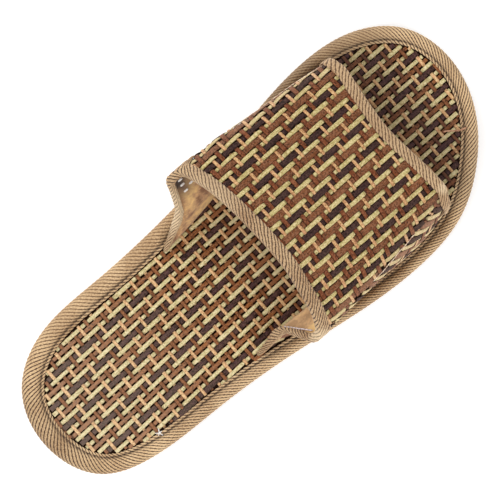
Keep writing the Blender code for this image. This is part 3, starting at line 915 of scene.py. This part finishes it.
# ---- Vamp strips ----------------------------------------------------------------------------------------
# The same straw, in wider strips set closer together, woven two over, two under. Over the last the rows
# sag towards the sides, and beyond the outer crease they turn and climb towards the toe.
VAMP_PITCH = 11.33 / 4
VAMP_BROWN_AT = -6.15
VAMP_ROW_AT = 67.75
VAMP_ROW_PITCH = 4.075
VAMP_MIDDLE = 0.78
#            half width
VAMP_STRIPS = {"brown": 1.78, "cream": 1.2, "dark": 1.5, "tan row": 0.88, "brown row": 1.2}
#                       share painted paler on the sides, as painted light
VAMP_SIDE_LIGHT = {"brown": 0.2, "cream": 0.4, "dark": 0.06, "tan row": 0.4, "brown row": 0.16}
BROWN_ROW_LOOSE = 0.15
#  name, deep, middle, pale and second cast
VAMP_STRAWS = {
    "brown": ("brown straw, vamp", (52, 31, 21), (103, 66, 45), (140, 95, 68), (118, 68, 38)),
    "cream": ("cream straw, vamp", (138, 116, 72), (184, 165, 112), (212, 195, 147), (170, 158, 98)),
    "dark": ("near-black straw, vamp", (26, 16, 13), (50, 34, 29), (80, 58, 51), (62, 40, 41)),
    "tan row": ("tan straw, vamp", (128, 88, 54), (184, 140, 94), (216, 178, 130), (184, 130, 98)),
    "brown row": ("brown weft straw, vamp", (50, 25, 16), (100, 56, 36), (138, 86, 58), (116, 62, 34)),
}
INNER_CREASE = 0.193
OUTER_CREASE = 0.782
TAPE_HIDES = 0.4
SEAM_HOLDS = 0.5
SIDE_TURN = math.radians(36.6)
SIDE_BROWN_AT = 70.5
SIDE_ROW_AT = 56.1
#  place across the weave, how far the rows lie forward of their middle
ROW_SAG = (
    (-95.0, 1.0), (-56.0, -3.2), (-45.0, -2.2), (-39.0, -1.5), (-25.0, -0.6), (-8.0, 0.0), (8.0, -0.3),
    (18.0, -0.9), (25.0, -1.7), (33.0, -2.8), (39.0, -3.7), (47.0, -6.2), (54.0, -8.0), (95.0, -14.0),
)

# The last, measured: q runs across the weave from the middle of the foot, and at each q and y the grid holds
# the point, the normal and the share across.
GRID_STEP = 0.5
section_y = np.arange(-36.0, 101.0, GRID_STEP)
section_share = np.linspace(0, 1, 801)
section = last_at(section_share[None, :], section_y[:, None])
section_normal = last_normal(section_share[None, :], section_y[:, None])
step = np.diff(section, axis=1)
arc = np.linalg.norm(step[..., [0, 2]], axis=2)
middle_x = (section[:, 1:, 0] + section[:, :-1, 0]) / 2
middle_share = (section_share[1:] + section_share[:-1]) / 2
on_top = np.abs(middle_share - 0.5) < 0.5 - SIDE_SHARE * 0.9
eased = np.where(on_top, np.where(middle_x < 0, 0.8, 0.2), 0.0)
q_step = arc * (1 - eased) + np.abs(step[..., 0]) * eased
q_of = np.concatenate([np.zeros((len(section_y), 1)), np.cumsum(q_step, axis=1)], axis=1)
q_grid = np.arange(-100.0, 100.5, GRID_STEP)
vamp_grid = np.empty((len(section_y), len(q_grid), 7))
q_ends = np.empty((len(section_y), 2))
crease_q = np.empty(len(section_y))
for i in range(len(section_y)):
    q = q_of[i] - np.interp(0, section[i, :, 0], q_of[i])
    q_ends[i] = q[0], q[-1]
    crease_q[i] = np.interp(OUTER_CREASE, section_share, q)
    for m, values in enumerate((*section[i].T, *section_normal[i].T, section_share)):
        vamp_grid[i, :, m] = np.interp(q_grid, q, values)
    vamp_grid[i, :, 2] -= np.maximum(q[0] - q_grid, 0) + np.maximum(q_grid - q[-1], 0)


def on_vamp(q, y):
    """Point, normal and share across at places on the weave, between the sections."""
    i = (y - section_y[0]) / GRID_STEP
    j = (q - q_grid[0]) / GRID_STEP
    i0 = np.clip(np.floor(i).astype(int), 0, len(section_y) - 2)
    j0 = np.clip(np.floor(j).astype(int), 0, len(q_grid) - 2)
    a = (i - i0)[:, None]
    b = (j - j0)[:, None]
    near = vamp_grid[i0, j0] * (1 - b) + vamp_grid[i0, j0 + 1] * b
    far = vamp_grid[i0 + 1, j0] * (1 - b) + vamp_grid[i0 + 1, j0 + 1] * b
    found = near * (1 - a) + far * a
    return found[:, :3], unit(found[:, 3:6]), found[:, 6]


def vamp_room(q, y, share):
    """Above 0 between toe opening, collar and seams, in from the edges by what the tape hides."""
    seam = np.minimum(q - np.interp(y, section_y, q_ends[:, 0]), np.interp(y, section_y, q_ends[:, 1]) - q)
    front = along(TOE_OPENING, 1, share) - y
    back = y - along(COLLAR, 1, share)
    return np.minimum.reduce([front - TAPE_HIDES, back - TAPE_HIDES, seam + SEAM_HOLDS])


def vamp_row_y(row, q):
    """Row 0 is a tan one and odd rows are brown."""
    y = VAMP_ROW_AT + row * VAMP_ROW_PITCH
    sag = along(ROW_SAG, 1, q)
    front = np.clip((y - 15) / 50, 0, 1)
    return y + sag * np.where(q > 0, 0.5 + 0.5 * front, 0.75 + 0.25 * front)


def lay_on_vamp(colour, q, y, rise_and_gap, turned):
    """Lays a strip's stretches on the top and the inner side, or the turned ones beyond the outer crease."""
    rise, gap = rise_and_gap
    shade = chance.random()
    half_width = VAMP_STRIPS[colour] * chance.uniform(0.96, 1.04)
    centre, normal, share = on_vamp(q, y)
    height = (VAMP_MIDDLE + rise * WEAVE_RISE) * pinch(share)
    centre = centre + normal * height[:, None]
    # painted light: the strips are painted paler towards the vamp's sides
    lightened = VAMP_SIDE_LIGHT[colour] * np.clip((np.abs(share - 0.5) - 0.24) / 0.06, 0, 1)
    before = np.interp(y, section_y, crease_q) + 0.1 - q
    room = np.minimum(vamp_room(q, y, share), -before if turned else before)
    for run in runs_of(room > 0):
        vamp_weave[colour].lay(centre[run], normal[run], half_width, shade, gap[run], lightened[run])


vamp_weave = {colour: Strips() for colour in VAMP_STRIPS}
columns = np.arange(-30, 31)
rows = np.arange(-26, 12)
column_holds, row_holds = held(VAMP_STRIPS, columns, rows, BROWN_ROW_LOOSE)
column_q = VAMP_BROWN_AT + columns * VAMP_PITCH
for column, middle in zip(columns, column_q):
    y = np.arange(-33.0, 97.0, 0.68)
    q = middle + waver(y, 0.12, 12, 18)
    crossings = vamp_row_y(rows, np.full(len(rows), middle))
    rise_and_gap = crossed(y, crossings, (column + rows - 2) % 4 < 2, row_holds)
    lay_on_vamp(LENGTHWISE[column % 4], q, y, rise_and_gap, turned=False)
for row in rows:
    q = np.arange(-92.0, 92.0, 0.47)
    y = vamp_row_y(row, q) + waver(q, 0.1, 10, 16)
    rise_and_gap = crossed(q, column_q, (columns + row - 2) % 4 >= 2, column_holds)
    lay_on_vamp(CROSSWISE[row % 2], q, y, rise_and_gap, turned=False)

# Beyond the outer crease the weave is turned: its strips leave the crease aslant and climb towards the toe.
cosine = math.cos(SIDE_TURN)
sine = math.sin(SIDE_TURN)
columns = np.arange(-40, 12)
rows = np.arange(-34, 22)
column_holds, row_holds = held(VAMP_STRIPS, columns, rows, BROWN_ROW_LOOSE)
columns_back = SIDE_BROWN_AT * sine + columns * VAMP_PITCH
rows_along = SIDE_ROW_AT + rows * VAMP_ROW_PITCH


def from_turned(reach, back):
    """q and y of places along the turned weave's strips and back across them."""
    y = reach * cosine + back * sine
    return reach * sine - back * cosine + np.interp(y, section_y, crease_q), y


for column, back in zip(columns, columns_back):
    reach = np.arange(-80.0, 120.0, 0.68)
    rise_and_gap = crossed(reach, rows_along, (rows - column + 1) % 4 < 2, row_holds)
    lay_on_vamp(LENGTHWISE[column % 4], *from_turned(reach, back), rise_and_gap, turned=True)
for row, reach in zip(rows, rows_along):
    back = np.arange(90.0, -60.0, -0.47)
    rise_and_gap = crossed(back, columns_back, (row - columns + 1) % 4 >= 2, column_holds)
    lay_on_vamp(CROSSWISE[row % 2], *from_turned(reach, back), rise_and_gap, turned=True)
vamp_pieces = make_strips(vamp_weave, VAMP_STRAWS, "vamp", "woven_vamp")


def thread(name, paths, thickness, finish):
    """Round threads along paths of points, each thinning a little to its ends."""
    points = []
    faces = []
    count = 0
    turn = np.arange(6) * TAU / 6
    for path in paths:
        path = np.asarray(path, float)
        ahead = unit(np.gradient(path, axis=0))
        side = unit(np.cross(ahead, (0.0, 0.0, 1.0)))
        top = np.cross(side, ahead)
        n = len(path)
        from_end = np.minimum(np.arange(n) + 0.5, n - 0.5 - np.arange(n))
        radius = thickness / 2 * np.sqrt(np.clip(from_end / 2.0, 0.2, 1))
        ring = side[:, None] * np.cos(turn)[None, :, None] + top[:, None] * np.sin(turn)[None, :, None]
        points.append((path[:, None] + ring * radius[:, None, None]).reshape(-1, 3))
        ends = [[0, 1, 2, 3], [0, 3, 4, 5]]
        last = (n - 1) * 6
        ends += [[last, last + 3, last + 2, last + 1], [last, last + 5, last + 4, last + 3]]
        faces.append(np.concatenate([grid_faces(n, 6, closed_columns=True)[:, ::-1], ends]) + count)
        count += n * 6
    return make_piece(name, np.concatenate(points), np.concatenate(faces), finish)


def spun(name, dull, bright):
    """Spun thread, uneven in colour."""
    made = Finish(name, 0.6)
    uneven = made.noise(made.place(), 900.0, 3.0)
    made.colour(made.mix(made.steps(uneven, 0.35, 0.65), dull, bright))
    made.bump(uneven, 0.00015, 0.5)
    return made


pale_thread = spun("pale thread", dye(172, 132, 108), dye(238, 218, 188))
crease_paths = []
for share, start, end in ((INNER_CREASE, 41.0, 89.0), (OUTER_CREASE, 36.0, 67.0)):
    y = np.arange(start, end, 0.8)
    share = np.full(len(y), share) + 0.0008 * np.sin(y / 3.1) + 0.0007 * np.sin(y / 1.3)
    crease_paths.append(last_at(share, y) + last_normal(share, y) * (VAMP_MIDDLE + 0.45))
crease_thread = thread("crease_threads", crease_paths, 0.52, pale_thread)

# ---- Collar and front bindings --------------------------------------------------------------------------
# The same twill tape, folded over the vamp's two open edges and stitched through near its inner edges.
# Its ends run down both sides and are caught in the seam with the sole.
FOLD_CLEARANCE = 0.4
CLEARANCE = 0.3
TAPE_THICKNESS = 0.9
TAPE_RIB_HEIGHT = 0.3
END_TUCK = 0.6
SMALLEST_AREA = 1e-4


def edge_frame(table, share):
    """Places, normals and directions along a line drawn over the last, whose y is given by the table."""
    before = np.maximum(share - 0.004, 0)
    after = np.minimum(share + 0.004, 1)
    direction = unit(last_at(after, along(table, 1, after)) - last_at(before, along(table, 1, before)))
    y = along(table, 1, share)
    return last_at(share, y), last_normal(share, y), direction


near = WALL / 2 + FOLD_CLEARANCE
far = near + TAPE_THICKNESS
beyond = CLEARANCE + TAPE_THICKNESS
#  share of the leaf's width, distance past the fold, height off the middle of the wall
over_face = [
    (1.0, 0.0, far - 0.55), (0.97, 0.0, far - 0.2), (0.8, 0.0, far - 0.02), (0.6, 0.0, far),
    (0.4, 0.0, far + 0.02), (0.2, 0.0, far + 0.02), (0.0, 0.0, far), (0.0, -beyond * 0.45, far * 0.85),
    (0.0, -beyond * 0.8, far * 0.52), (0.0, -beyond, 0.0),
]
outer_face = over_face + [(share, past, -height) for share, past, height in over_face[-2::-1]]
inner_face = [(0.93, 0.0, -near), (0.5, 0.0, -near), (0.0, -CLEARANCE, -near), (0.0, -CLEARANCE, near),
              (0.5, 0.0, near), (0.93, 0.0, near)]
tape_share, tape_past, tape_height = np.array(outer_face + inner_face).T
round_fold = np.interp(np.abs(tape_height) / far, (0.0, 0.52, 0.85, 1.0), (0.0, 1.0, 1.6, 2.0))
round_fold = np.where(tape_past == 0, 2.0, round_fold) * np.sign(tape_height)
on_outer_leaf = tape_height > 0


def make_tape(name, table, inward, outer_leaf, inner_leaf, slant):
    """Tape folded over an edge of the vamp. inward is 1 where the vamp lies forward of it.

    The leaves' widths and the slant of the twill are tables by share, because the ends are drawn narrow."""
    share = np.linspace(0, 1, 4001)
    reach = reach_along(last_at(share, along(table, 1, share)))
    samples = int(reach[-1] / TWILL_PITCH) * SAMPLES_PER_LINE
    margin = 8 * SAMPLES_PER_LINE
    k = np.arange(-margin, samples + margin)[:, None]
    base = k * reach[-1] / samples
    lean = np.interp(base / reach[-1], *zip(*slant))
    over, under = (along(leaf, 1, base / reach[-1]) for leaf in (outer_leaf, inner_leaf))
    across = round_fold + tape_share * np.where(on_outer_leaf, over, -under)
    ripple = 0.25 * np.sin(base / 3.7 + across * 1.1) + 0.18 * np.sin(base / 1.9 - across * 1.7)
    s = np.clip(base - across * lean + ripple, 0, reach[-1])
    share_at = np.interp(s, reach, share)
    place, normal, direction = edge_frame(table, share_at)
    into = np.cross(normal, direction) * inward
    leaf = np.where(on_outer_leaf, along(outer_leaf, 1, share_at), along(inner_leaf, 1, share_at))
    distance = tape_share * leaf + tape_past
    off = (tape_height * pinch(share_at))[..., None]
    y = place[..., 1] + np.maximum(distance, 0) / into[..., 1]
    on_wall = last_at(share_at, y) + last_normal(share_at, y) * off
    past = place + into * distance[..., None] + normal * off
    points = np.where((distance > 0)[..., None], on_wall, past)
    ribs = np.broadcast_to(rib(k), s.shape)
    raised = np.where(np.arange(len(tape_share)) < len(outer_face), TAPE_RIB_HEIGHT, 0.0)
    outward = grid_normals(points) * inward
    points = points + outward * ((ribs - 0.7) * raised)[..., None]
    points[(s <= 0) | (s >= reach[-1]), 2] -= END_TUCK
    faces = grid_faces(len(k), len(tape_share), closed_columns=True)[:, ::inward]
    spots = points.reshape(-1, 3)
    a, b, c, d = (spots[faces[:, corner]] for corner in range(4))
    faces = faces[np.linalg.norm(np.cross(c - a, d - b), axis=1) > SMALLEST_AREA]
    used = np.unique(faces)
    renumber = np.zeros(len(spots), int)
    renumber[used] = np.arange(len(used))
    lie = np.stack(np.broadcast_arrays(s, across, k / SAMPLES_PER_LINE), axis=2).reshape(-1, 3)
    # painted shade along the edges of both leaves
    edge_shade = np.broadcast_to(np.where(tape_share > 0.99, 0.5, 0.0), s.shape).reshape(-1)
    marks = {"rib": ribs.reshape(-1)[used], "lie": lie[used], "deep": edge_shade[used]}
    piece = make_piece(name, spots[used], renumber[faces], vamp_twill, marks)
    return piece


#  share across, width of the leaf there
COLLAR_OUTER_LEAF = (
    (0.0, 2.0), (0.1, 3.6), (0.2, 5.2), (0.5, 5.4), (0.78, 5.3), (0.88, 3.6), (0.94, 2.6), (1.0, 1.8),
)
COLLAR_INNER_LEAF = (
    (0.0, 1.6), (0.1, 2.0), (0.18, 2.4), (0.3, 4.4), (0.7, 4.4), (0.79, 3.0), (0.86, 1.8), (0.9, 1.3),
    (1.0, 1.0),
)
FRONT_LEAF = ((0.0, 3.0), (0.2, 4.6), (0.8, 4.6), (0.9, 3.4), (1.0, 1.4))
#  share across, slant of the twill's lines there
COLLAR_SLANT = ((0, 2.2), (0.1, 2.1), (0.2, 1.2), (0.3, 1.5), (0.5, 1.5), (0.7, 1.3), (0.85, 1.3), (1, 1.8))
FRONT_SLANT = ((0, -1.2), (0.5, -1.4), (1, -1.3))
#   paler: place, radius where it is fully paler, radius where it ends, share
PALER_PLACES = (
    ((0.0375, 0.0918, 0.0350), 0.001, 0.0045, 0.62),
    ((-0.0430, -0.0140, 0.0270), 0.008, 0.022, 0.55),
    ((-0.0360, 0.0075, 0.0570), 0.004, 0.024, 0.28),
    ((0.0500, -0.0010, 0.0435), 0.002, 0.0080, 0.6),
)
vamp_twill = twill("striped twill, vamp", dye(58, 34, 17), dye(156, 119, 82), dye(210, 178, 137),
                   (1, 1, 0.06, 0.08, 0.22), PALER_PLACES)
collar_tape = make_tape("collar_tape", COLLAR, 1, COLLAR_OUTER_LEAF, COLLAR_INNER_LEAF, COLLAR_SLANT)
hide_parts("collar_binding")
front_tape = make_tape("front_tape", TOE_OPENING, -1, FRONT_LEAF, FRONT_LEAF, FRONT_SLANT)
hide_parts("front_binding")

# ---- Stitches and loose ends ----------------------------------------------------------------------------
# Dark lockstitches sink into the groove all round the sole binding. Pale ones tack the lining at the inner
# corner of the collar, and a few cut ends of thread are left here and there.
SOLE_STITCH_EVERY = 3.0
SOLE_STITCH_LENGTH = 1.7
SOLE_STITCH_AT = 1.55

dark_thread = spun("dark thread", dye(52, 36, 27), dye(104, 78, 58))
groove_line = sole_loop(7200, -SOLE_STITCH_AT, 1.0)
groove_reach = reach_along(groove_line)
stitch_paths = []
for start in np.arange(0.5, groove_reach[-1] - 2, SOLE_STITCH_EVERY):
    along_stitch = np.linspace(0, 1, 5)
    at = start + chance.uniform(-0.3, 0.3) + along_stitch * SOLE_STITCH_LENGTH * chance.uniform(0.8, 1.2)
    x = np.interp(at, groove_reach, groove_line[:, 0])
    y = np.interp(at, groove_reach, groove_line[:, 1])
    z = 9.62 + 0.35 * np.sin(along_stitch * math.pi) + lift(y)
    stitch_paths.append(np.stack([x, y, z], axis=1))
thread("sole_stitches", stitch_paths, 0.5, dark_thread)

#  tack's middle      x      y
CORNER_TACKS = ((-46.9, 2.1), (-51.3, -1.1), (-48.8, -1.8), (-45.6, -2.4))


def share_at_x(x, y, shares, off):
    """Which of the shares across the last lies at x, off by a distance, at a place y."""
    return np.interp(-x, -last_at(shares, y)[:, 0] + off, shares)


inner_shares = np.linspace(0.0, 0.188, 300)
tack_paths = []
for x, middle_y in CORNER_TACKS:
    y = middle_y + np.linspace(-1.3, 1.3, 7)
    share = np.array([share_at_x(x, at, inner_shares, -1.1) for at in y])
    tack_paths.append(last_at(share, y) - last_normal(share, y) * 1.25)
white_thread = spun("white thread", dye(214, 204, 196), dye(250, 246, 240))
thread("corner_tacks", tack_paths, 1.25, white_thread)

outer_shares = np.linspace(0.79, 0.93, 200)
x = np.linspace(46.8, 36.0, 30)
y = -2.1 - (46.8 - x) * 0.86
share = np.array([share_at_x(*at, outer_shares, 1.6) for at in zip(x, y)])
cut_edge = last_at(share, y) - last_normal(share, y) * 2.0
grey_thread = spun("grey thread", dye(176, 156, 152), dye(232, 220, 220))
thread("collar_cut_edge", [cut_edge], 0.8, grey_thread)

curl = np.linspace(0, 1, 24)
y = 121.0 - 10.4 * curl
x = 23.2 - 5.4 * curl + 0.7 * np.sin(curl * 5.0)
brown_end = np.stack([x, y, 10.5 + lift(y) + 0.9 * np.sin(curl * 3.1)], axis=1)
brown_thread = spun("brown thread", dye(140, 92, 66), dye(196, 148, 116))
thread("brown_cut_end", [brown_end], 0.75, brown_thread)
#  direction, length
WHITE_ENDS = ((0.3, 2.2), (1.5, 1.6), (2.6, 2.6), (4.1, 2.0), (5.2, 1.5))
share = np.linspace(0, 1, 6)
white_ends = [
    np.stack([34.2 + math.cos(turn) * length * share, -91.8 + math.sin(turn) * length * share,
              10.5 + 0.8 * share - 0.5 * share**2], axis=1)
    for turn, length in WHITE_ENDS
]
thread("white_cut_ends", white_ends, 0.55, white_thread)

# ---- Floor, light and camera ----------------------------------------------------------------------------
# The slipper stands on a plain white floor under soft, even light, seen from straight above and turned so
# that the toe points up and to the right.
CAMERA_TURN = math.radians(48.1)
CAMERA_HEIGHT = 8000.0
VIEW_WIDTH = 246.0

floor_mesh = bpy.data.meshes.new("floor")
floor_mesh.from_pydata([(-3, -3, 0), (3, -3, 0), (3, 3, 0), (-3, 3, 0)], [], [(0, 1, 2, 3)])
floor = bpy.data.objects.new("floor", floor_mesh)
bpy.context.scene.collection.objects.link(floor)
paper = Finish("white floor", 0.9)
grain = paper.noise(paper.place(), 300.0, 2.0)
paper.colour(paper.mix(grain, (0.93, 0.93, 0.93, 1), (0.95, 0.95, 0.95, 1)))
paper.shader.inputs["Emission Color"].default_value = (1, 1, 1, 1)
paper.shader.inputs["Emission Strength"].default_value = 0.28
floor_mesh.materials.append(paper.material)

world = bpy.data.worlds.new("studio")
world.use_nodes = True
world.node_tree.nodes["Background"].inputs["Color"].default_value = (1, 1, 1, 1)
world.node_tree.nodes["Background"].inputs["Strength"].default_value = 0.70
bpy.context.scene.world = world
#  lamp             place in metres     size  power
for name, place, size, power in (
    ("heel softbox", (-0.3, -1.1, 1.5), 0.9, 9.0),
    ("overhead softbox", (0.0, 0.1, 2.2), 1.4, 2.0),
    ("inner side softbox", (-1.4, 0.1, 0.8), 1.0, 11.0),
    ("outer side softbox", (1.4, 0.1, 0.8), 1.0, 11.0),
):
    lamp = bpy.data.lights.new(name, "AREA")
    lamp.size = size
    lamp.energy = power
    light = bpy.data.objects.new(name, lamp)
    light.location = place
    light.rotation_euler = Vector(place).to_track_quat("Z", "Y").to_euler()
    bpy.context.scene.collection.objects.link(light)

right = np.array((math.cos(CAMERA_TURN), math.sin(CAMERA_TURN)))
up = np.array((-math.sin(CAMERA_TURN), math.cos(CAMERA_TURN)))
outline = sole_loop(400, 0.0)
middle = right * (np.ptp(outline @ right) / 2 + (outline @ right).min()) + up * (
    np.ptp(outline @ up) / 2 + (outline @ up).min())
lens = bpy.data.cameras.new("camera")
lens.sensor_width = 36.0
lens.lens = 36.0 * CAMERA_HEIGHT / VIEW_WIDTH
lens.clip_start = 0.1
lens.clip_end = 20.0
camera = bpy.data.objects.new("camera", lens)
camera.location = (middle[0] * MM, middle[1] * MM, CAMERA_HEIGHT * MM)
camera.rotation_euler = (0, 0, CAMERA_TURN)
bpy.context.scene.collection.objects.link(camera)
bpy.context.scene.camera = camera
bpy.context.scene.view_settings.view_transform = "Standard"
